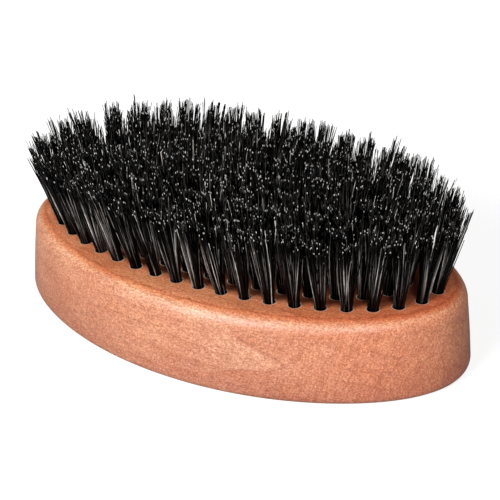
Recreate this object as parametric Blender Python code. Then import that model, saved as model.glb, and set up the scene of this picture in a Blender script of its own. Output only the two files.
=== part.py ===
"""Oval palm brush for a beard: a solid pear-wood block drilled with blind
holes, and in every hole a tuft of black boar bristle folded over a flat wire
anchor. The tufts stand in four oval rows and one short centre row, and lean
outwards the more, the nearer they stand to the rim. The inner rows are squarer
ovals than the outer one and end well short of it, so their end tufts lean
further out to close the field. The outer row's end tufts are a little shorter.

Metres, +Z up. The origin is the centre of the block's flat underside, +X runs
along the block, and the bristles point up.
"""

import math

import bmesh
import bpy
from mathutils import Matrix

MM = 0.001

# block
BLOCK_A = 60.0 * MM  # half length
BLOCK_B = 34.0 * MM  # half width
BLOCK_H = 21.7 * MM  # height
SHOULDER = 0.019  # how much the outline is drawn in between its axes
FOOT_R = 2.3 * MM  # fillet where the wall meets the underside
RIM_R = 4.1 * MM  # roundover where the wall meets the bristle face
DRAFT = 1.45 * MM  # how far the wall draws in on its way up
OUTLINE_STEPS = 72
FOOT_STEPS = 3
RIM_STEPS = 4

# bristle field
FIELD_H = 19.8 * MM  # bristle length above the wood, measured upright
HOLE_R = 1.55 * MM
HOLE_DEPTH = 7.0 * MM
ROOT_R = 1.25 * MM
ROOT_DEPTH = 6.7 * MM
TIP_R = 2.95 * MM  # an outer tuft where it is widest
SIDES = 8
LEG_SIDES = 6
LEG_TIP_R = 2.2 * MM
BAND_HALF = 2.5 * MM  # half width of the mat an inner row's tips form
BAND_LOW = 14.0 * MM  # where the mat starts, above the wood
BAND_STEPS = 56

# rows of tufts: semi-axes, exponent of the oval (2 is an ellipse), count, first
# tuft in pitches past the -X end, and how far the tips stand outside their
# roots beside the centre and at the two ends
ROWS = (
    ("outer", 52.1 * MM, 23.9 * MM, 2.0, 41, 0.5, 5.86 * MM, 3.8 * MM),
    ("ring_2", 44.0 * MM, 18.2 * MM, 2.2, 33, 0.5, 4.3 * MM, 4.1 * MM),
    ("ring_3", 38.0 * MM, 12.2 * MM, 2.2, 27, 0.0, 2.97 * MM, 4.0 * MM),
    ("ring_4", 31.7 * MM, 6.3 * MM, 2.2, 21, 0.5, 1.52 * MM, 3.0 * MM),
)
CENTRE_COUNT = 9
CENTRE_PITCH = 6.0 * MM
CENTRE_SPREAD = 1.1 * MM  # lean of the row's two end tufts
END_DROP = 1.6 * MM  # how much shorter the outer row's end tufts are

# wire anchors, seven under the outer tufts of each side
ANCHORS = (1, 4, 7, 10, 13, 16, 19, 21, 24, 27, 30, 33, 36, 39)
ANCHOR_T = 0.3 * MM
ANCHOR_L = 3.7 * MM
ANCHOR_H = 1.2 * MM
ANCHOR_Z = -5.4 * MM  # its middle, below the bristle face
GAP = 0.25 * MM


def clear_scene():
    for ob in list(bpy.data.objects):
        bpy.data.objects.remove(ob, do_unlink=True)


def collection(name):
    made = bpy.data.collections.new(name)
    bpy.context.scene.collection.children.link(made)
    return made


def material(name, colour, roughness, metallic=0.0):
    made = bpy.data.materials.new(name)
    made.use_nodes = True
    shader = made.node_tree.nodes["Principled BSDF"]
    shader.inputs["Base Color"].default_value = (*colour, 1.0)
    shader.inputs["Roughness"].default_value = roughness
    shader.inputs["Metallic"].default_value = metallic
    made.diffuse_color = (*colour, 1.0)
    made.roughness = roughness
    made.metallic = metallic
    return made


def finish(bm, name):
    bmesh.ops.recalc_face_normals(bm, faces=bm.faces)
    mesh = bpy.data.meshes.new(name)
    bm.to_mesh(mesh)
    bm.free()
    return mesh


def place(name, mesh, where, look=None, location=(0, 0, 0), turn=0.0):
    ob = bpy.data.objects.new(name, mesh)
    ob.location = location
    ob.rotation_euler = (0.0, 0.0, turn)
    where.objects.link(ob)
    if look is not None and not mesh.materials:
        mesh.materials.append(look)
    return ob


def hide(ob):
    ob.hide_render = True
    ob.display_type = "WIRE"


def cut(ob, cutter, operation="DIFFERENCE"):
    mod = ob.modifiers.new(cutter.name, "BOOLEAN")
    mod.operation = operation
    mod.solver = "EXACT"
    mod.object = cutter


def loft(bm, rings, closed=False):
    """Skins a stack of unlike closed rings, point to point. closed joins the
    last ring to the first, and otherwise both ends are capped."""
    loops = [[bm.verts.new(p) for p in ring] for ring in rings]
    pairs = list(zip(loops, loops[1:]))
    if closed:
        pairs.append((loops[-1], loops[0]))
    for one, other in pairs:
        for i in range(len(one)):
            j = (i + 1) % len(one)
            bm.faces.new((one[i], one[j], other[j], other[i]))
    if not closed:
        bm.faces.new(loops[0][::-1])
        bm.faces.new(loops[-1])


def rim(t):
    """The outline's point at angle t: an ellipse with its shoulders drawn in."""
    part = 1 - SHOULDER * math.sin(2 * t) ** 2
    return BLOCK_A * part * math.cos(t), BLOCK_B * part * math.sin(t)


def outline(inset, z):
    """The block's outline, moved in by inset along its normal, at height z."""
    points = []
    for i in range(OUTLINE_STEPS):
        t = 2 * math.pi * i / OUTLINE_STEPS
        x, y = rim(t)
        ax, ay = rim(t - 1e-4)
        bx, by = rim(t + 1e-4)
        size = math.hypot(bx - ax, by - ay)
        points.append(
            (x - inset * (by - ay) / size, y + inset * (bx - ax) / size, z)
        )
    return points


def block_rings():
    rings = []
    for i in range(FOOT_STEPS + 1):
        t = 0.5 * math.pi * i / FOOT_STEPS
        rings.append(
            outline(FOOT_R * (1 - math.sin(t)), FOOT_R * (1 - math.cos(t)))
        )
    for i in range(RIM_STEPS + 1):
        t = 0.5 * math.pi * i / RIM_STEPS
        rings.append(
            outline(
                DRAFT + RIM_R * (1 - math.cos(t)),
                BLOCK_H - RIM_R * (1 - math.sin(t)),
            )
        )
    return rings


def oval(a, b, power, t):
    """A point of the oval at angle t past the -X end, by way of -Y."""
    c, s = math.cos(t), math.sin(t)
    return (
        -a * math.copysign(abs(c) ** (2 / power), c),
        -b * math.copysign(abs(s) ** (2 / power), s),
    )


def row_of_tufts(a, b, power, count, start, side_lean, end_lean):
    """Points one equal arc apart on an oval, with the outward direction and
    the lean at each."""
    fine = 7200
    points = [oval(a, b, power, 2 * math.pi * i / fine) for i in range(fine + 1)]
    run = [0.0]
    for p, q in zip(points, points[1:]):
        run.append(run[-1] + math.dist(p, q))
    found, at = [], 0
    for k in range(count):
        want = (k + start) * run[-1] / count
        while run[at + 1] < want:
            at += 1
        part = (want - run[at]) / (run[at + 1] - run[at])
        x = points[at][0] + part * (points[at + 1][0] - points[at][0])
        y = points[at][1] + part * (points[at + 1][1] - points[at][1])
        out_x = math.copysign(abs(x / a) ** (power - 1), x) / a
        out_y = math.copysign(abs(y / b) ** (power - 1), y) / b
        spread = side_lean + (end_lean - side_lean) * (abs(x) / a) ** 4
        found.append((x, y, math.atan2(out_y, out_x), spread))
    return found


def centre_row():
    half = CENTRE_PITCH * (CENTRE_COUNT - 1) / 2
    row = []
    for k in range(CENTRE_COUNT):
        x = k * CENTRE_PITCH - half
        row.append((x, 0.0, 0.0, CENTRE_SPREAD * x / half))
    return row


def tuft_height(x):
    return FIELD_H - END_DROP * (abs(x) / ROWS[0][1]) ** 4


def lean(matrix, spread):
    """Shears along local X, so that the field's full height gives spread."""
    shear = Matrix.Identity(4)
    shear[0][2] = spread / FIELD_H
    return matrix @ shear


def turned(bm, profile, sides, matrix):
    """Turns (radius, height) pairs about Z and puts the body through matrix.
    The profile starts and ends on the axis."""
    verts = [bm.verts.new((r, 0.0, z)) for r, z in profile]
    edges = [bm.edges.new(pair) for pair in zip(verts, verts[1:])]
    bmesh.ops.spin(
        bm,
        geom=verts + edges,
        cent=(0, 0, 0),
        axis=(0, 0, 1),
        angle=2 * math.pi,
        steps=sides,
        use_merge=True,
    )
    faces = {f for e in edges for v in e.verts for f in v.link_faces}
    todo = list(faces)
    while todo:
        for v in todo.pop().verts:
            for f in v.link_faces:
                if f not in faces:
                    faces.add(f)
                    todo.append(f)
    whole = {v for f in faces for v in f.verts} | set(verts)
    bmesh.ops.remove_doubles(bm, verts=list(whole), dist=1e-7)
    whole = [v for v in whole if v.is_valid]
    bmesh.ops.transform(bm, matrix=matrix, verts=whole)


def upright(x, y, turn):
    return (
        Matrix.Translation((x, y, BLOCK_H)) @ Matrix.Rotation(turn, 4, "Z")
    )


def box(bm, size, middle, matrix):
    made = bmesh.ops.create_cube(bm, size=1.0)["verts"]
    bmesh.ops.transform(
        bm,
        matrix=matrix @ Matrix.Translation(middle) @ Matrix.Diagonal((*size, 1.0)),
        verts=made,
    )


def build():
    clear_scene()
    brush = collection("beard_brush")
    cutters = collection("cutters")

    pear = material("pear_wood", (0.77, 0.34, 0.21), 0.42)
    boar = material("boar_bristle", (0.012, 0.012, 0.014), 0.35)
    wire = material("anchor_steel", (0.55, 0.55, 0.53), 0.3, 1.0)

    rows = {name: row_of_tufts(*rest) for name, *rest in ROWS}
    outer = rows["outer"]

    # wood block
    bm = bmesh.new()
    loft(bm, block_rings())
    block = place("block", finish(bm, "block"), brush, pear)

    # blind holes, each on its tuft's own slant
    profile = [(0, 2 * MM), (HOLE_R, 2 * MM), (HOLE_R, -HOLE_DEPTH), (0, -HOLE_DEPTH)]
    bm = bmesh.new()
    for name, row in rows.items():
        for x, y, turn, spread in row:
            sides = SIDES if name == "outer" else LEG_SIDES
            turned(bm, profile, sides, lean(upright(x, y, turn), spread))
    for x, y, turn, spread in centre_row():
        turned(bm, profile, LEG_SIDES, lean(upright(x, y, turn), spread))
    holes = place("holes", finish(bm, "holes"), cutters)
    hide(holes)
    cut(block, holes)

    # side pockets the anchors' ends bite into
    bm = bmesh.new()
    for k in ANCHORS:
        x, y, turn, spread = outer[k]
        box(
            bm,
            (ANCHOR_T + 2 * GAP, ANCHOR_L + 2 * GAP, ANCHOR_H + 2 * GAP),
            (0, 0, ANCHOR_Z),
            lean(upright(x, y, turn), spread),
        )
    pockets = place("pockets", finish(bm, "pockets"), cutters)
    hide(pockets)
    cut(block, pockets)

    # outer tufts, one piece each, narrow in the hole and fanned at the tips
    for k, (x, y, turn, spread) in enumerate(outer):
        spot = {"location": (x, y, BLOCK_H), "turn": turn}
        top = tuft_height(x)
        tilt = lean(Matrix.Identity(4), spread)
        bm = bmesh.new()
        turned(
            bm,
            [
                (0, top),
                (TIP_R - 0.5 * MM, top),
                (TIP_R, top - 1.2 * MM),
                (1.75 * MM, 7.5 * MM),
                (ROOT_R, 0.6 * MM),
                (ROOT_R, -ROOT_DEPTH),
                (0, -ROOT_DEPTH),
            ],
            SIDES,
            tilt,
        )
        name = f"tuft_{k + 1:02d}"
        tuft = place(name, finish(bm, name), brush, boar, **spot)
        tuft.parent = block
        if k in ANCHORS:
            bm = bmesh.new()
            box(
                bm,
                (ANCHOR_T + 2 * GAP, 6 * MM, ANCHOR_H + 2 * GAP),
                (0, 0, ANCHOR_Z),
                tilt,
            )
            name = f"window_{k + 1:02d}"
            window = place(name, finish(bm, name), cutters, **spot)
            hide(window)
            cut(tuft, window)
            bm = bmesh.new()
            box(bm, (ANCHOR_T, ANCHOR_L, ANCHOR_H), (0, 0, ANCHOR_Z), tilt)
            name = f"anchor_{k + 1:02d}"
            anchor = place(name, finish(bm, name), brush, wire, **spot)
            anchor.parent = block

    # inner rows: upright legs in their holes under one mat of tips a row
    leg = [
        (0, FIELD_H - 0.8 * MM),
        (LEG_TIP_R, FIELD_H - 0.8 * MM),
        (ROOT_R, 0.6 * MM),
        (ROOT_R, -ROOT_DEPTH),
        (0, -ROOT_DEPTH),
    ]
    for name, a, b, power, count, start, side_lean, end_lean in ROWS[1:]:
        bm = bmesh.new()
        for x, y, turn, spread in rows[name]:
            turned(bm, leg, LEG_SIDES, lean(upright(x, y, turn), spread))
        legs = place(f"legs_{name}", finish(bm, f"legs_{name}"), cutters)
        hide(legs)
        rings = []
        for half, z in (
            (BAND_HALF, BAND_LOW),
            (BAND_HALF, FIELD_H - 0.6 * MM),
            (BAND_HALF - 0.6 * MM, FIELD_H),
            (0.6 * MM - BAND_HALF, FIELD_H),
            (-BAND_HALF, FIELD_H - 0.6 * MM),
            (-BAND_HALF, BAND_LOW),
        ):
            ring = []
            for i in range(BAND_STEPS):
                x, y = oval(
                    a + end_lean + half,
                    b + side_lean + half,
                    power,
                    2 * math.pi * i / BAND_STEPS,
                )
                ring.append((x, y, BLOCK_H + z))
            rings.append(ring)
        bm = bmesh.new()
        loft(bm, rings, closed=True)
        band = place(f"bristle_{name}", finish(bm, f"bristle_{name}"), brush, boar)
        cut(band, legs, "UNION")
        band.parent = block

    # centre row
    bm = bmesh.new()
    for x, y, turn, spread in centre_row():
        turned(bm, leg, LEG_SIDES, lean(upright(x, y, turn), spread))
    legs = place("legs_centre", finish(bm, "legs_centre"), cutters)
    hide(legs)
    half_x = CENTRE_PITCH * (CENTRE_COUNT - 1) / 2 + CENTRE_SPREAD + BAND_HALF
    tall = FIELD_H - BAND_LOW
    bm = bmesh.new()
    box(
        bm,
        (2 * half_x, 2 * BAND_HALF, tall),
        (0, 0, BAND_LOW + tall / 2),
        Matrix.Translation((0, 0, BLOCK_H)),
    )
    bmesh.ops.bevel(
        bm,
        geom=[
            e
            for e in bm.edges
            if abs((e.verts[0].co - e.verts[1].co).z) > tall / 2
        ],
        offset=2.0 * MM,
        segments=3,
        profile=0.5,
        affect="EDGES",
    )
    band = place("bristle_centre", finish(bm, "bristle_centre"), brush, boar)
    cut(band, legs, "UNION")
    band.parent = block

    for ob in brush.objects:
        ob.data.shade_smooth()
        ob.data.set_sharp_from_angle(angle=math.radians(35))
    bpy.context.view_layer.update()


build()
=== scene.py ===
"""Looks of the oval palm brush: the wood block, the boar bristles hair by hair,
the wire anchors, a pale floor, soft light and the camera.

Lengths below are in millimetres where a name says so, and metres elsewhere.
"""

import math

import bmesh
import bpy
import numpy as np
from mathutils import Matrix, Vector


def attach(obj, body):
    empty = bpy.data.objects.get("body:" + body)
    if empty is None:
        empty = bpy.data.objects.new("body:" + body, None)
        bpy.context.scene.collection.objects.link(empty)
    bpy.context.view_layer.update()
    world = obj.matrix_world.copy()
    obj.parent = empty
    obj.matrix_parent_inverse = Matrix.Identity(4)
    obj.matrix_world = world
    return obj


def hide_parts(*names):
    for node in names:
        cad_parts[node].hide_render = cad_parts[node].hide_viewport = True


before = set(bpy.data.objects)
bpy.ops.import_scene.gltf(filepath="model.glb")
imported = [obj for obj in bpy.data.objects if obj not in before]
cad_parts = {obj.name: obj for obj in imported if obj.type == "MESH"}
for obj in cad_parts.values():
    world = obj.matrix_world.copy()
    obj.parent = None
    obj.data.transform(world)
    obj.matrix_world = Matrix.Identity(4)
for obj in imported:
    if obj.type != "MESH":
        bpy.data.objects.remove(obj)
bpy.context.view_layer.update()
scene = bpy.context.scene
MM = 0.001

# ----------------------------------------------------------------- dimensions
A, B, H = 60.0, 34.0, 21.7  # block: half length, half width, height
SHOULDER = 0.019
FOOT_R, RIM_R, DRAFT = 2.3, 4.1, 1.45
FIELD = 19.8  # bristle length above the wood, upright
HOLE_R = 1.47
LIP_DEPTH = 0.03
# semi-axes, exponent, count, start, lean beside the centre and at the ends
ROWS = (
    ("outer", 52.1, 23.9, 2.0, 41, 0.5, 5.86, 3.8),
    ("ring_2", 44.0, 18.2, 2.2, 33, 0.5, 4.3, 4.1),
    ("ring_3", 38.0, 12.2, 2.2, 27, 0.0, 2.97, 4.0),
    ("ring_4", 31.7, 6.3, 2.2, 21, 0.5, 1.52, 3.0),
)
CENTRE_COUNT, CENTRE_PITCH, CENTRE_SPREAD = 9, 6.0, 1.1
END_DROP = 1.6


def row_of_tufts(a, b, power, count, start, side_lean, end_lean):
    """Centre, outward direction and lean of each tuft of an oval row."""
    t = np.linspace(0, 2 * np.pi, 7201)
    c, s = np.cos(t), np.sin(t)
    x = -a * np.sign(c) * np.abs(c) ** (2 / power)
    y = -b * np.sign(s) * np.abs(s) ** (2 / power)
    run = np.r_[0.0, np.cumsum(np.hypot(np.diff(x), np.diff(y)))]
    want = (np.arange(count) + start) * run[-1] / count
    found = []
    for u, v in zip(np.interp(want, run, x), np.interp(want, run, y)):
        turn = math.atan2(
            math.copysign(abs(v / b) ** (power - 1), v) / b,
            math.copysign(abs(u / a) ** (power - 1), u) / a,
        )
        spread = side_lean + (end_lean - side_lean) * (abs(u) / a) ** 4
        found.append((float(u), float(v), turn, spread))
    return found


def tuft_rows():
    rows = {name: row_of_tufts(*rest) for name, *rest in ROWS}
    half = CENTRE_PITCH * (CENTRE_COUNT - 1) / 2
    rows["centre"] = [
        (x, 0.0, 0.0, CENTRE_SPREAD * x / half)
        for x in (k * CENTRE_PITCH - half for k in range(CENTRE_COUNT))
    ]
    return rows


rows = tuft_rows()

# -------------------------------------------------------------- node helpers


class Tree:
    """Short hands for building a node tree."""

    def __init__(self, name):
        self.material = bpy.data.materials.new(name)
        self.material.use_nodes = True
        self.nodes = self.material.node_tree.nodes
        self.links = self.material.node_tree.links
        self.shader = self.nodes["Principled BSDF"]

    def put(self, socket, value):
        if isinstance(value, bpy.types.NodeSocket):
            self.links.new(value, socket)
        elif value is not None:
            socket.default_value = value

    def node(self, kind, inputs=None, **settings):
        n = self.nodes.new("ShaderNode" + kind)
        for key, value in settings.items():
            setattr(n, key, value)
        for key, value in (inputs or {}).items():
            self.put(n.inputs[key], value)
        return n

    def math(self, op, a, b=None, c=None, clamp=False):
        n = self.node("Math", operation=op, use_clamp=clamp)
        for i, v in enumerate((a, b, c)):
            self.put(n.inputs[i], v)
        return n.outputs[0]

    def scaled(self, vector, scale, offset=(0, 0, 0), turn=(0, 0, 0)):
        return self.node(
            "Mapping",
            {0: vector, "Location": offset, "Rotation": turn, "Scale": scale},
            vector_type="POINT",
        ).outputs[0]

    def noise(self, vector, scale=1.0, detail=3.0, rough=0.5, distort=0.0):
        return self.node(
            "TexNoise",
            {
                "Vector": vector,
                "Scale": scale,
                "Detail": detail,
                "Roughness": rough,
                "Distortion": distort,
            },
        ).outputs["Fac"]

    def ramp(self, fac, stops, ease="LINEAR"):
        n = self.node("ValToRGB", {"Fac": fac})
        n.color_ramp.interpolation = ease
        stops = [(p, c if len(c) == 4 else (*c, 1.0)) for p, c in stops]
        el = n.color_ramp.elements
        el[0].position, el[0].color = stops[0]
        el[1].position, el[1].color = stops[-1]
        for p, c in stops[1:-1]:
            e = el.new(p)
            e.color = c
        return n.outputs["Color"]

    def grey(self, fac, low, high, at=(0.0, 1.0)):
        return self.node(
            "MapRange",
            {
                "Value": fac,
                "From Min": at[0],
                "From Max": at[1],
                "To Min": low,
                "To Max": high,
            },
            clamp=True,
        ).outputs[0]

    def mix(self, fac, a, b, how="MIX"):
        n = self.node("Mix", data_type="RGBA", blend_type=how, clamp_factor=True)
        self.put(n.inputs[0], fac)
        self.put(n.inputs[6], a)
        self.put(n.inputs[7], b)
        return n.outputs[2]


def pear_wood():
    """Steamed pear: pinkish orange, fine pores along X, soft growth bands,
    short rays across them."""
    t = Tree("pear_wood_detail")
    place = t.node("TexCoord").outputs["Object"]
    mm = t.node("VectorMath", {0: place, "Scale": 1000.0}, operation="SCALE")
    mm = mm.outputs[0]

    # growth rings: nested bowls that open towards -X, so that the front wall cuts
    # them into pointed arches round a pale heart; warp bends them a little
    warp = t.node(
        "TexNoise",
        {"Vector": t.scaled(mm, (0.05, 0.09, 0.12)), "Scale": 1.0, "Detail": 2.0},
    ).outputs["Color"]
    warp = t.node("VectorMath", {0: warp, 1: (0.5, 0.5, 0.5)}, operation="SUBTRACT")
    warp = t.node("VectorMath", {0: warp.outputs[0], "Scale": 6.0}, operation="SCALE")
    bent = t.node("VectorMath", {0: mm, 1: warp.outputs[0]}, operation="ADD").outputs[0]
    split = t.node("SeparateXYZ", {0: bent})
    bx, by, bz = split.outputs[0], split.outputs[1], split.outputs[2]
    from_tip = t.math("SUBTRACT", bx, 26.2)
    rise = t.math("SUBTRACT", bz, 9.7)
    above = t.math("MULTIPLY", t.math("MAXIMUM", rise, 0.0), 0.54)
    below = t.math("MULTIPLY", t.math("MINIMUM", rise, 0.0), -1.18)
    bowl = t.math("POWER", t.math("ADD", above, below), 1.667)
    ring = t.math("ADD", from_tip, bowl)
    phase = t.math("FRACT", t.math("MULTIPLY", ring, 0.19))
    late = t.ramp(
        phase,
        [
            (0.0, (1.02, 1.03, 1.03)),
            (0.50, (0.99, 0.98, 0.975)),
            (0.80, (0.94, 0.90, 0.88)),
            (0.93, (0.78, 0.66, 0.62)),
            (0.97, (0.84, 0.74, 0.70)),
            (1.0, (1.02, 1.03, 1.03)),
        ],
    )
    heart = t.math("MULTIPLY", t.grey(ring, 1.0, 0.0, (-1.8, -0.6)), t.grey(from_tip, 0.0, 1.0, (-27.0, -10.0)))
    edge = t.grey(t.math("ABSOLUTE", t.math("ADD", ring, 0.1)), 1.0, 0.0, (0.15, 0.9))
    edge = t.math("MULTIPLY", edge, t.grey(from_tip, 0.0, 1.0, (-20.0, -8.0)))
    front = t.grey(by, 1.0, 0.0, (-22.0, -14.0))
    heart, edge = (t.math("MULTIPLY", k, front) for k in (heart, edge))

    # fibres, mottling and grain
    fibre = t.noise(t.scaled(mm, (0.18, 1.9, 1.9)), detail=4.0, rough=0.62)
    fibre_fine = t.noise(t.scaled(mm, (0.7, 4.5, 4.5)), detail=3.0, rough=0.65)
    cloud = t.noise(t.scaled(mm, (0.05, 0.09, 0.11)), detail=3.0, rough=0.55)
    blotch = t.noise(t.scaled(mm, (0.16, 0.30, 0.34), offset=(7.0, 3.0, 5.0)), detail=3.0, rough=0.6)
    grain = t.noise(t.scaled(mm, (1.25, 2.3, 2.3)), detail=3.0, rough=0.8)
    speck = t.noise(t.scaled(mm, (2.4, 2.9, 2.9)), detail=2.0, rough=0.8)

    colour = t.ramp(
        cloud,
        [
            (0.32, (0.79, 0.360, 0.208)),
            (0.50, (0.725, 0.300, 0.166)),
            (0.66, (0.67, 0.250, 0.132)),
        ],
    )
    colour = t.mix(t.math("MULTIPLY", heart, 0.75), colour, (0.82, 0.40, 0.245, 1.0))
    colour = t.mix(t.math("MULTIPLY", edge, 0.55), colour, (0.50, 0.175, 0.095, 1.0))
    colour = t.mix(
        t.grey(blotch, 0.0, 0.5, (0.52, 0.72)), colour, (0.735, 0.325, 0.222, 1.0)
    )
    colour = t.mix(
        t.grey(blotch, 0.5, 0.0, (0.26, 0.44)), colour, (0.80, 0.335, 0.165, 1.0)
    )
    near_tip = t.math("MULTIPLY", t.grey(bx, 0.0, 1.0, (2.0, 14.0)), t.grey(bx, 1.0, 0.0, (27.0, 34.0)))
    near_tip = t.math("MULTIPLY", near_tip, t.grey(bz, 1.0, 0.0, (16.5, 19.5)))
    colour = t.mix(t.math("MULTIPLY", near_tip, 0.45), colour, late, "MULTIPLY")
    # long wavy growth lines along the length
    layer = t.math("MULTIPLY_ADD", by, 0.55, t.math("MULTIPLY_ADD", bx, 0.035, bz))
    layer = t.math("FRACT", t.math("MULTIPLY", layer, 0.21))
    lines = t.ramp(
        layer,
        [
            (0.0, (1.02, 1.03, 1.03)),
            (0.45, (1.0, 0.99, 0.985)),
            (0.80, (0.95, 0.91, 0.89)),
            (0.94, (0.84, 0.74, 0.70)),
            (1.0, (1.02, 1.03, 1.03)),
        ],
    )
    weak = t.grey(t.noise(t.scaled(mm, (0.07, 0.2, 0.2), offset=(3.0, 9.0, 1.0)), detail=1.0), 0.0, 0.9, (0.40, 0.62))
    colour = t.mix(weak, colour, lines, "MULTIPLY")
    brown = t.math("MULTIPLY", t.grey(bx, 1.0, 0.0, (-34.0, -12.0)), t.grey(bz, 1.0, 0.0, (4.0, 17.0)))
    brown = t.math("MULTIPLY", brown, t.grey(cloud, 0.6, 1.0, (0.38, 0.54)))
    colour = t.mix(brown, colour, (0.58, 0.215, 0.112, 1.0))
    colour = t.mix(
        0.9, colour, t.ramp(fibre, [(0.3, (0.76, 0.70, 0.66)), (0.5, (1.0, 1.0, 1.0)), (0.72, (1.05, 1.12, 1.14))]), "MULTIPLY"
    )
    colour = t.mix(
        0.5, colour, t.ramp(fibre_fine, [(0.34, (0.74, 0.66, 0.6)), (0.5, (1.0, 1.0, 1.0)), (0.7, (1.05, 1.06, 1.06))]), "MULTIPLY"
    )
    colour = t.mix(
        0.95, colour, t.ramp(grain, [(0.32, (0.62, 0.50, 0.45)), (0.46, (0.95, 0.93, 0.92)), (0.54, (1.02, 1.05, 1.07)), (0.68, (1.28, 1.46, 1.56))]), "MULTIPLY"
    )
    colour = t.mix(
        0.85, colour, t.ramp(speck, [(0.34, (0.58, 0.45, 0.39)), (0.5, (1.0, 1.0, 1.0)), (0.66, (1.28, 1.46, 1.56))]), "MULTIPLY"
    )

    # pores: short dark dashes along the grain
    cells = t.node(
        "TexVoronoi",
        {"Vector": t.scaled(mm, (0.42, 1.5, 1.5)), "Scale": 1.0, "Randomness": 1.0},
        feature="F1",
    )
    keep = t.node("SeparateColor", {0: cells.outputs["Color"]}).outputs[0]
    pore = t.grey(cells.outputs["Distance"], 1.0, 0.0, (0.10, 0.22))
    pore = t.math("MULTIPLY", pore, t.grey(keep, 0.0, 1.0, (0.35, 0.75)))
    colour = t.mix(t.math("MULTIPLY", pore, 0.55), colour, (0.30, 0.092, 0.05, 1.0))

    # rays: thin pale and dark ticks, nearly upright, stronger towards +X
    tilted = t.scaled(mm, (1.0, 1.0, 1.0), turn=(0.0, math.radians(-17), 0.0))
    ray = t.noise(t.scaled(tilted, (2.6, 1.2, 0.12)), detail=2.0, rough=0.6)
    parts = t.node("SeparateXYZ", {0: mm})
    x, y, z = parts.outputs[0], parts.outputs[1], parts.outputs[2]
    towards = t.grey(x, 0.06, 1.0, (-5.0, 32.0))
    pale = t.math("MULTIPLY", t.grey(ray, 0.0, 0.42, (0.53, 0.68)), towards)
    dark = t.math("MULTIPLY", t.grey(ray, 0.45, 0.0, (0.34, 0.47)), towards)
    colour = t.mix(t.math("MULTIPLY", pale, 0.6), colour, (0.90, 0.52, 0.35, 1.0))
    colour = t.mix(t.math("MULTIPLY", dark, 0.7), colour, (0.52, 0.185, 0.105, 1.0))
    hatch = t.noise(t.scaled(tilted, (0.62, 0.3, 0.03), offset=(2.0, 4.0, 6.0)), detail=0.6, rough=0.5)
    hatch = t.grey(t.math("ABSOLUTE", t.math("SUBTRACT", hatch, 0.5)), 1.0, 0.0, (0.005, 0.040))
    hatch = t.math("MULTIPLY", t.math("MULTIPLY", hatch, towards), t.grey(z, 1.0, 0.0, (17.5, 20.0)))
    colour = t.mix(t.math("MULTIPLY", hatch, 0.42), colour, (0.42, 0.14, 0.075, 1.0))
    # painted shade: the wall is darker and pinker towards the foot
    painted_shade_foot = t.ramp(
        t.grey(z, 0.0, 1.0, (0.0, 16.0)),
        [
            (0.0, (0.72, 0.70, 0.78)),
            (0.15, (0.80, 0.76, 0.80)),
            (0.5, (0.91, 0.885, 0.89)),
            (1.0, (1.0, 1.0, 1.0)),
        ],
    )
    colour = t.mix(1.0, colour, painted_shade_foot, "MULTIPLY")
    redwood = t.mix(1.0, colour, (1.04, 0.89, 0.815, 1.0), "MULTIPLY")
    colour = t.mix(t.grey(x, 0.0, 1.0, (18.0, 44.0)), colour, redwood)
    # painted highlight: a paler band on the upper roundover; above it the face between
    # the tufts is tinted redder, with a darker line round its edge where the roundover starts
    uneven = t.math("MULTIPLY_ADD", blotch, 1.6, -0.8)
    face_tint_and_painted_highlight = t.ramp(
        t.grey(t.math("ADD", z, t.math("MULTIPLY", uneven, 0.35)), 0.0, 1.0, (19.7, 21.7)),
        [
            (0.0, (1.0, 1.0, 1.0)),
            (0.10, (1.06, 1.12, 1.13)),
            (0.46, (1.08, 1.20, 1.20)),
            (0.62, (1.06, 0.94, 0.80)),
            (0.80, (1.04, 0.78, 0.58)),
            (0.90, (0.80, 0.54, 0.38)),
            (0.97, (1.08, 0.86, 0.68)),
            (1.0, (1.20, 1.0, 0.80)),
        ],
    )
    colour = t.mix(1.0, colour, face_tint_and_painted_highlight, "MULTIPLY")
    # painted shade: the face is darker and redder towards the right end
    painted_shade_right_end = t.math("MULTIPLY", t.grey(x, 0.0, 1.0, (30.0, 46.0)), t.grey(z, 0.0, 1.0, (20.6, 21.5)))
    colour = t.mix(painted_shade_right_end, colour, t.mix(1.0, colour, (0.80, 0.68, 0.66, 1.0), "MULTIPLY"))
    # painted shade: the wood inside the outer row, down among the tufts, is darkened
    oval = t.math("ADD", t.math("POWER", t.math("MULTIPLY", x, 1 / 52.1), 2.0), t.math("POWER", t.math("MULTIPLY", y, 1 / 23.9), 2.0))
    painted_shade_among_tufts = t.math("MULTIPLY", t.grey(oval, 1.0, 0.0, (0.84, 1.03)), t.grey(z, 0.0, 1.0, (20.5, 21.4)))
    colour = t.mix(painted_shade_among_tufts, colour, t.mix(1.0, colour, (0.27, 0.20, 0.17, 1.0), "MULTIPLY"))
    # painted highlight: a pale ring on the pressed lip round each hole
    across = t.math("MULTIPLY", t.math("MULTIPLY", y, 1 / 27.0), t.math("MULTIPLY", y, 1 / 27.0))
    around = t.math("MULTIPLY", t.math("MULTIPLY", x, 1 / 54.2), t.math("MULTIPLY", x, 1 / 54.2))
    inside = t.math("LESS_THAN", t.math("ADD", across, around), 1.0)
    painted_rim_highlight = t.math("MULTIPLY", t.math("LESS_THAN", z, H - 0.5 * LIP_DEPTH), t.math("GREATER_THAN", z, H - 0.14))
    painted_rim_highlight = t.math("MULTIPLY", painted_rim_highlight, inside)
    colour = t.mix(t.math("MULTIPLY", painted_rim_highlight, 0.7), colour, (0.93, 0.68, 0.54, 1.0))
    t.put(t.shader.inputs["Base Color"], colour)
    t.put(t.shader.inputs["Specular IOR Level"], 0.85)

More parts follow.
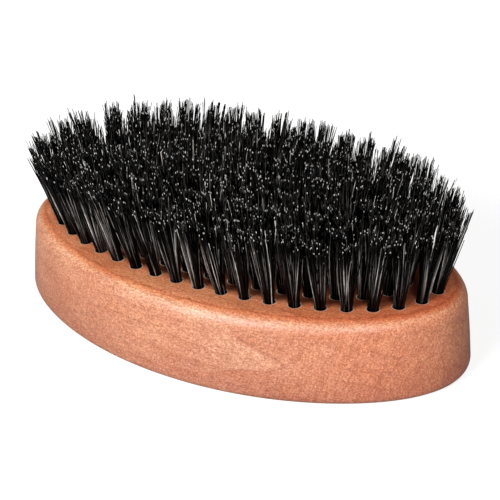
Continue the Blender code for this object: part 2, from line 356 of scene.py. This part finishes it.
    rough = t.grey(fibre, 0.48, 0.38, (0.3, 0.7))
    rough = t.math("ADD", rough, t.math("MULTIPLY", pore, 0.2))
    t.put(t.shader.inputs["Roughness"], rough)
    t.put(t.shader.inputs["IOR"], 1.46)
    height = t.math("SUBTRACT", t.math("MULTIPLY", fibre_fine, 0.6), pore)
    height = t.math("ADD", height, t.math("MULTIPLY", speck, 0.35))
    bump = t.node(
        "Bump", {"Height": height, "Strength": 0.35, "Distance": 0.00006}
    ).outputs[0]
    t.put(t.shader.inputs["Normal"], bump)
    return t.material


def boar_bristle():
    """Black boar hair: waxy, a few brown and grey hairs, pale split tips."""
    t = Tree("boar_bristle_detail")
    hair = t.node("Attribute", attribute_name="hair").outputs["Fac"]
    along = t.node("Attribute", attribute_name="along").outputs["Fac"]
    place = t.node("TexCoord").outputs["Object"]
    mm = t.node("VectorMath", {0: place, "Scale": 1000.0}, operation="SCALE")
    mm = mm.outputs[0]
    colour = t.ramp(
        hair,
        [
            (0.0, (0.0005, 0.0005, 0.0006)),
            (0.68, (0.0012, 0.0012, 0.0012)),
            (0.76, (0.045, 0.043, 0.042)),
            (0.88, (0.15, 0.145, 0.14)),
            (0.97, (0.30, 0.29, 0.28)),
            (1.0, (0.62, 0.60, 0.58)),
        ],
    )
    # painted shade and highlight along each hair: dark roots and dark last third, brighter streaks between, but for
    # the palest few
    painted_shade_and_streaks = t.ramp(
        along,
        [
            (0.0, (0.08, 0.08, 0.08)),
            (0.22, (0.45, 0.45, 0.45)),
            (0.40, (2.0, 2.0, 2.0)),
            (0.55, (2.7, 2.7, 2.7)),
            (0.74, (1.6, 1.6, 1.6)),
            (0.87, (0.14, 0.135, 0.13)),
            (1.0, (0.07, 0.065, 0.06)),
        ],
    )
    painted_shade_and_streaks = t.mix(t.grey(hair, 0.0, 1.0, (0.978, 0.988)), painted_shade_and_streaks, (1.0, 1.0, 1.0, 1.0))
    colour = t.mix(1.0, colour, painted_shade_and_streaks, "MULTIPLY")
    mottle = t.noise(t.scaled(mm, (1.1, 1.1, 0.4)), detail=2.0)
    colour = t.mix(
        0.7, colour, t.ramp(mottle, [(0.3, (0.4, 0.4, 0.4)), (0.7, (1.6, 1.5, 1.45))]), "MULTIPLY"
    )
    # split tips, pale on some hairs only
    tip = t.math(
        "MULTIPLY",
        t.grey(along, 0.0, 1.0, (0.978, 0.990)),
        t.grey(t.math("FRACT", t.math("MULTIPLY", hair, 37.0)), 0.0, 1.0, (0.70, 0.96)),
    )
    colour = t.mix(tip, colour, (0.88, 0.86, 0.84, 1.0))
    t.put(t.shader.inputs["Base Color"], colour)
    t.put(
        t.shader.inputs["Roughness"],
        t.grey(t.math("FRACT", t.math("MULTIPLY", hair, 11.0)), 0.12, 0.26),
    )
    t.put(t.shader.inputs["IOR"], 1.40)
    t.put(t.shader.inputs["Specular IOR Level"], 0.13)
    return t.material


def anchor_steel():
    """Flat drawn wire: lines along its length, slight tarnish."""
    t = Tree("anchor_steel_detail")
    place = t.node("TexCoord").outputs["Object"]
    mm = t.node("VectorMath", {0: place, "Scale": 1000.0}, operation="SCALE")
    mm = mm.outputs[0]
    lines = t.noise(t.scaled(mm, (0.8, 0.8, 14.0)), detail=3.0)
    stain = t.noise(t.scaled(mm, (0.9, 0.9, 0.9)), detail=3.0)
    colour = t.ramp(
        stain, [(0.3, (0.36, 0.33, 0.29)), (0.6, (0.56, 0.55, 0.53)), (0.9, (0.66, 0.65, 0.63))]
    )
    t.put(t.shader.inputs["Base Color"], colour)
    t.put(t.shader.inputs["Metallic"], 1.0)
    t.put(t.shader.inputs["Roughness"], t.grey(lines, 0.2, 0.42, (0.3, 0.7)))
    bump = t.node(
        "Bump", {"Height": lines, "Strength": 0.3, "Distance": 0.00002}
    ).outputs[0]
    t.put(t.shader.inputs["Normal"], bump)
    return t.material


PEAR, BOAR, STEEL = pear_wood(), boar_bristle(), anchor_steel()


def link(ob):
    scene.collection.objects.link(ob)
    return ob


# --------------------------------------------------------------------- block
def rim(t):
    part = 1 - SHOULDER * math.sin(2 * t) ** 2
    return A * part * math.cos(t), B * part * math.sin(t)


def outline(inset, z, steps):
    points = []
    for i in range(steps):
        t = 2 * math.pi * i / steps
        x, y = rim(t)
        ax, ay = rim(t - 1e-4)
        bx, by = rim(t + 1e-4)
        size = math.hypot(bx - ax, by - ay)
        points.append((x - inset * (by - ay) / size, y + inset * (bx - ax) / size, z))
    return points


def make_block():
    steps = 320
    levels = []
    for i in range(9):
        t = 0.5 * math.pi * i / 8
        levels.append((FOOT_R * (1 - math.sin(t)), FOOT_R * (1 - math.cos(t))))
    low, high = levels[-1], (DRAFT, H - RIM_R)
    for i in range(1, 6):
        p = i / 6
        # the wall bellies a touch between its two rounds
        inset = low[0] + p * (high[0] - low[0]) - 0.10 * math.sin(math.pi * p)
        levels.append((inset, low[1] + p * (high[1] - low[1])))
    for i in range(13):
        t = 0.5 * math.pi * i / 12
        levels.append((DRAFT + RIM_R * (1 - math.cos(t)), H - RIM_R * (1 - math.sin(t))))
    levels.append((DRAFT + RIM_R + 0.35, H))
    bm = bmesh.new()
    # a narrow flat ring inside the foot keeps the underside's shading flat
    rings = [outline(FOOT_R + 0.4, 0.0, steps)] + [outline(i, z, steps) for i, z in levels]
    loops = [[bm.verts.new(Vector(p) * MM) for p in ring] for ring in rings]
    for one, other in zip(loops, loops[1:]):
        for i in range(steps):
            j = (i + 1) % steps
            bm.faces.new((one[i], one[j], other[j], other[i]))
    bm.faces.new(loops[0][::-1])
    bm.faces.new(loops[-1])
    bmesh.ops.recalc_face_normals(bm, faces=bm.faces)
    mesh = bpy.data.meshes.new("wood_block")
    bm.to_mesh(mesh)
    bm.free()
    block = link(bpy.data.objects.new("wood_block", mesh))

    # drilled holes with a pressed lip, a hair's breadth below the face; the pale ring on it is a painted highlight in
    # the wood
    profile = [
        (0.0, 1.2),
        (HOLE_R + 0.26, 1.2),
        (HOLE_R + 0.26, -LIP_DEPTH),
        (HOLE_R + 0.06, -LIP_DEPTH),
        (HOLE_R, -0.16),
        (HOLE_R, -6.6),
        (0.0, -7.2),
    ]
    sides = 26
    verts, faces = [], []
    for name, spots in rows.items():
        for x, y, turn, spread in spots:
            base = len(verts)
            c, s = math.cos(turn), math.sin(turn)
            rings = []
            for r, z in profile:
                ring = []
                for k in range(sides if r else 1):
                    a = 2 * math.pi * k / sides
                    u = r * math.cos(a) + spread * z / FIELD
                    v = r * math.sin(a)
                    ring.append(len(verts))
                    verts.append(
                        ((x + c * u - s * v) * MM, (y + s * u + c * v) * MM, (H + z) * MM)
                    )
                rings.append(ring)
            for one, other in zip(rings, rings[1:]):
                for k in range(sides):
                    m = (k + 1) % sides
                    if len(one) == 1:
                        faces.append((one[0], other[m], other[k]))
                    elif len(other) == 1:
                        faces.append((one[k], one[m], other[0]))
                    else:
                        faces.append((one[k], one[m], other[m], other[k]))
            del base
    tool = bpy.data.meshes.new("drill")
    tool.from_pydata(verts, [], faces)
    bm = bmesh.new()
    bm.from_mesh(tool)
    bmesh.ops.recalc_face_normals(bm, faces=bm.faces)
    bm.to_mesh(tool)
    bm.free()
    drill = link(bpy.data.objects.new("drill", tool))
    mod = block.modifiers.new("holes", "BOOLEAN")
    mod.operation, mod.solver, mod.object = "DIFFERENCE", "EXACT", drill
    bpy.context.view_layer.update()
    graph = bpy.context.evaluated_depsgraph_get()
    done = bpy.data.meshes.new_from_object(block.evaluated_get(graph))
    block.modifiers.clear()
    block.data = done
    done.name = "wood_block"
    bpy.data.objects.remove(drill, do_unlink=True)
    bpy.data.meshes.remove(tool)
    done.shade_smooth()
    done.set_sharp_from_angle(angle=math.radians(32))
    done.materials.clear()
    done.materials.append(PEAR)
    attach(block, "root")
    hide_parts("block")
    return block


# ------------------------------------------------------------------ bristles
def sunflower(count, radius):
    k = np.arange(count) + 0.5
    r = radius * np.sqrt(k / count)
    a = k * 2.399963
    return r * np.cos(a), r * np.sin(a)


def make_bristles(
    name, spots, seed, nodes, count=84, sides=3, spans=6,
    fans=(1.35, 1.95), draws=(0.05, 0.55), astray=0.10,
):
    """One mesh: every hair of these tufts, as a tapered bent tube."""
    rng = np.random.default_rng(seed)
    all_v, all_f3, all_f4, hair, along = [], [], [], [], []
    base = 0
    for x, y, turn, spread in spots:
        n = count + int(rng.integers(-5, 6))
        u, v = sunflower(n, 1.28)
        spin = rng.uniform(0, 2 * np.pi)
        u, v = (
            u * math.cos(spin) - v * math.sin(spin),
            u * math.sin(spin) + v * math.cos(spin),
        )
        u = u + rng.normal(0, 0.05, n)
        v = v + rng.normal(0, 0.05, n)
        # tuft-wide quirks: where it leans, how far it fans, how long it is
        lean_u = spread + rng.normal(0, 0.4)
        lean_v = rng.normal(0, 0.55)
        fan = rng.uniform(*fans)
        top = FIELD + rng.normal(0, 0.3) - END_DROP * (abs(x) / 52.1) ** 4
        # each hair
        tip = top + rng.normal(0, 0.4, n)
        short = rng.random(n) < 0.2
        tip[short] -= rng.uniform(0.8, 5.0, short.sum())
        tall = rng.random(n) < 0.06
        tip[tall] += rng.uniform(0.4, 1.6, tall.sum())
        # hairs stick together in locks, which draw in at their tips
        many = 11
        seed_u, seed_v = sunflower(many, 1.12)
        seed_u = seed_u + rng.normal(0, 0.16, many)
        seed_v = seed_v + rng.normal(0, 0.16, many)
        lock = np.argmin(
            (u[:, None] - seed_u) ** 2 + (v[:, None] - seed_v) ** 2, axis=1
        )
        draw = rng.uniform(*draws, many)[lock]
        du = draw * (seed_u[lock] - u) * (1 + fan) + rng.normal(0, 0.42, many)[lock]
        dv = draw * (seed_v[lock] - v) * (1 + fan) + rng.normal(0, 0.42, many)[lock]
        du, dv = du + rng.normal(0, 0.14, n), dv + rng.normal(0, 0.14, n)
        tip = tip + rng.normal(0, 0.55, many)[lock]
        stray = rng.random(n) < astray
        du[stray] += rng.normal(0, 1.1, stray.sum())
        dv[stray] += rng.normal(0, 1.1, stray.sum())
        bow_u, bow_v = rng.normal(0, 0.26, n), rng.normal(0, 0.26, n)
        z = -3.2 + (tip[:, None] + 3.2) * np.linspace(0, 1, spans + 1)[None, :] ** 0.92
        s = np.clip(z / FIELD, 0, None)
        grow = 1 + fan * s**1.25
        path_u = (
            u[:, None] * grow
            + (lean_u * z / FIELD)
            + du[:, None] * s**1.7
            + bow_u[:, None] * np.sin(np.pi * np.clip(s, 0, 1))
        )
        path_v = (
            v[:, None] * grow
            + lean_v * s**1.3
            + dv[:, None] * s**1.7
            + bow_v[:, None] * np.sin(np.pi * np.clip(s, 0, 1))
        )
        c, sn = math.cos(turn), math.sin(turn)
        px = x + c * path_u - sn * path_v
        py = y + sn * path_u + c * path_v
        path = np.stack([px, py, H + z], -1)  # n, spans+1, 3
        way = np.gradient(path, axis=1)
        way /= np.linalg.norm(way, axis=2, keepdims=True)
        side = np.cross(way, np.array([0.0, 1.0, 0.0]))
        side /= np.linalg.norm(side, axis=2, keepdims=True)
        other = np.cross(way, side)
        thick = rng.uniform(0.10, 0.15, n)
        t = np.linspace(0, 1, spans + 1)
        taper = np.interp(t, [0, 0.6, 0.97, 1.0], [1.0, 0.92, 0.74, 0.68])
        radius = thick[:, None] * taper[None, :]
        phase = rng.uniform(0, 2 * np.pi, n)
        ring = []
        for k in range(sides):
            a = phase[:, None, None] + 2 * np.pi * k / sides
            ring.append(
                path + radius[..., None] * (np.cos(a) * side + np.sin(a) * other)
            )
        ring = np.stack(ring, 2)  # n, spans+1, sides, 3
        all_v.append(ring.reshape(-1, 3))
        ids = base + np.arange(n * (spans + 1) * sides).reshape(n, spans + 1, sides)
        low, high = ids[:, :-1], ids[:, 1:]
        quads = np.stack(
            [low, np.roll(low, -1, 2), np.roll(high, -1, 2), high], -1
        )
        all_f4.append(quads.reshape(-1, 4))
        all_f3.append(ids[:, -1, :][:, :3] if sides == 3 else ids[:, -1, :3])
        all_f3.append(ids[:, 0, ::-1][:, :3])
        value = rng.random(n)
        hair.append(np.repeat(value, (spans + 1) * sides))
        along.append(
            np.broadcast_to(
                t[None, :, None], (n, spans + 1, sides)
            ).reshape(-1)
        )
        base += n * (spans + 1) * sides
    verts = np.concatenate(all_v) * MM
    quads = np.concatenate(all_f4)
    tris = np.concatenate(all_f3)
    mesh = bpy.data.meshes.new(name)
    mesh.vertices.add(len(verts))
    mesh.vertices.foreach_set("co", verts.astype(np.float32).ravel())
    corners = np.concatenate([quads.ravel(), tris.ravel()]).astype(np.int32)
    mesh.loops.add(len(corners))
    mesh.loops.foreach_set("vertex_index", corners)
    starts = np.concatenate(
        [np.arange(len(quads)) * 4, len(quads) * 4 + np.arange(len(tris)) * 3]
    ).astype(np.int32)
    mesh.polygons.add(len(starts))
    mesh.polygons.foreach_set("loop_start", starts)
    mesh.update(calc_edges=True)
    mesh.validate()
    for key, data in (("hair", hair), ("along", along)):
        layer = mesh.attributes.new(key, "FLOAT", "POINT")
        layer.data.foreach_set("value", np.concatenate(data).astype(np.float32))
    mesh.shade_smooth()
    mesh.materials.append(BOAR)
    ob = link(bpy.data.objects.new(name, mesh))
    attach(ob, "root")
    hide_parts(*nodes)
    return ob


make_block()
for k, spot in enumerate(rows["outer"]):
    # the far side's tufts are stuck together more, with gaps between their locks
    stuck = dict(fans=(1.1, 1.65), draws=(0.25, 0.75), astray=0.06)
    make_bristles(
        f"bristles_{k + 1:02d}", [spot], 100 + k, [f"tuft_{k + 1:02d}"],
        **(stuck if spot[1] > 4 else {}),
    )
for i, name in enumerate(("ring_2", "ring_3", "ring_4", "centre")):
    make_bristles(f"bristles_{name}", rows[name], 500 + i, [f"bristle_{name}"])

for node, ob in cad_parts.items():
    ob = bpy.data.objects.get(node) if isinstance(ob, str) else ob
    if node.startswith("anchor_") and hasattr(ob, "material_slots"):
        for s in ob.material_slots:
            s.material = STEEL
        if not ob.material_slots:
            ob.data.materials.append(STEEL)

# --------------------------------------------------------------------- floor
def make_floor():
    bpy.ops.mesh.primitive_plane_add(size=6.0, location=(0, 0, -0.0002))
    floor = bpy.context.object
    floor.name = "floor"
    t = Tree("floor_white")
    # a grey card that is lit from below where it is seen, so that it shows
    # white and soft-shadowed, and doesn't flood the wood with bounced light
    t.put(t.shader.inputs["Base Color"], (0.42, 0.42, 0.42, 1.0))
    t.put(t.shader.inputs["Roughness"], 0.9)
    t.put(t.shader.inputs["Specular IOR Level"], 0.1)
    t.put(t.shader.inputs["Emission Color"], (1.0, 1.0, 1.0, 1.0))
    seen = t.node("LightPath").outputs["Is Camera Ray"]
    t.put(t.shader.inputs["Emission Strength"], t.math("MULTIPLY", seen, 0.785))
    floor.data.materials.append(t.material)
    return floor


make_floor()

# --------------------------------------------------------------------- light
world = bpy.data.worlds.new("studio")
scene.world = world
world.use_nodes = True
wn, wl = world.node_tree.nodes, world.node_tree.links
sky = wn["Background"]
sky.inputs["Color"].default_value = (1, 1, 1, 1)
# a dim room under a wide bright ceiling panel
where = wn.new("ShaderNodeTexCoord")
split = wn.new("ShaderNodeSeparateXYZ")
wl.new(where.outputs["Generated"], split.inputs[0])
ceiling = wn.new("ShaderNodeMapRange")
ceiling.interpolation_type = "SMOOTHSTEP"
ceiling.inputs["From Min"].default_value = 0.78
ceiling.inputs["From Max"].default_value = 0.94
ceiling.inputs["To Min"].default_value = 0.07
ceiling.inputs["To Max"].default_value = 0.28
wl.new(split.outputs["Z"], ceiling.inputs["Value"])
wl.new(ceiling.outputs[0], sky.inputs["Strength"])
backdrop = wn.new("ShaderNodeBackground")  # what shows past the floor's edge
backdrop.inputs["Color"].default_value = (1, 1, 1, 1)
backdrop.inputs["Strength"].default_value = 1.0
path = wn.new("ShaderNodeLightPath")
blend = wn.new("ShaderNodeMixShader")
wl.new(path.outputs["Is Camera Ray"], blend.inputs[0])
wl.new(sky.outputs[0], blend.inputs[1])
wl.new(backdrop.outputs[0], blend.inputs[2])
wl.new(blend.outputs[0], wn["World Output"].inputs["Surface"])


def lamp(name, az, el, wide, gain):
    """A soft source far off at az and el, wide degrees across. gain is the
    brightness it gives a white card that faces it."""
    a, e = math.radians(az), math.radians(el)
    out = Vector((math.sin(a) * math.cos(e), -math.cos(a) * math.cos(e), math.sin(e)))
    data = bpy.data.lights.new(name, "SUN")
    data.angle = math.radians(wide)
    data.energy = gain * math.pi
    ob = link(bpy.data.objects.new(name, data))
    ob.location = out
    ob.rotation_euler = (-out).to_track_quat("-Z", "Y").to_euler()
    return ob


lamp("key", -14, 28, 24, 0.825)
lamp("low", -12, 6, 30, 0.08)
lamp("side", 38, 34, 18, 0.44)

# -------------------------------------------------------------------- camera
CAM = {
    "az": 29.2885809,
    "el": 29.5375391,
    "far": 734.656984,
    "focal_px": 1602.86523,
    "roll": -0.842843945,
    "aim": (-142.475833, 257.887343, -147.950553),
}
az, el, roll = (math.radians(CAM[k]) for k in ("az", "el", "roll"))
back = Vector((math.sin(az) * math.cos(el), -math.cos(az) * math.cos(el), math.sin(el)))
right = Vector((math.cos(az), math.sin(az), 0.0))
up = back.cross(right)
axis_x = right * math.cos(roll) + up * math.sin(roll)
axis_y = up * math.cos(roll) - right * math.sin(roll)
cam_data = bpy.data.cameras.new("camera")
cam_data.sensor_width = 36.0
cam_data.lens = CAM["focal_px"] / 500.0 * 36.0
camera = link(bpy.data.objects.new("camera", cam_data))
turn = Matrix((axis_x, axis_y, back)).transposed().to_4x4()
camera.matrix_world = (
    Matrix.Translation((Vector(CAM["aim"]) + back * CAM["far"]) * MM) @ turn
)
cam_data.clip_start, cam_data.clip_end = 0.01, 50.0
scene.camera = camera

scene.view_settings.view_transform = "Standard"
scene.view_settings.look = "None"
scene.view_settings.exposure = 0.0
scene.view_settings.gamma = 1.0
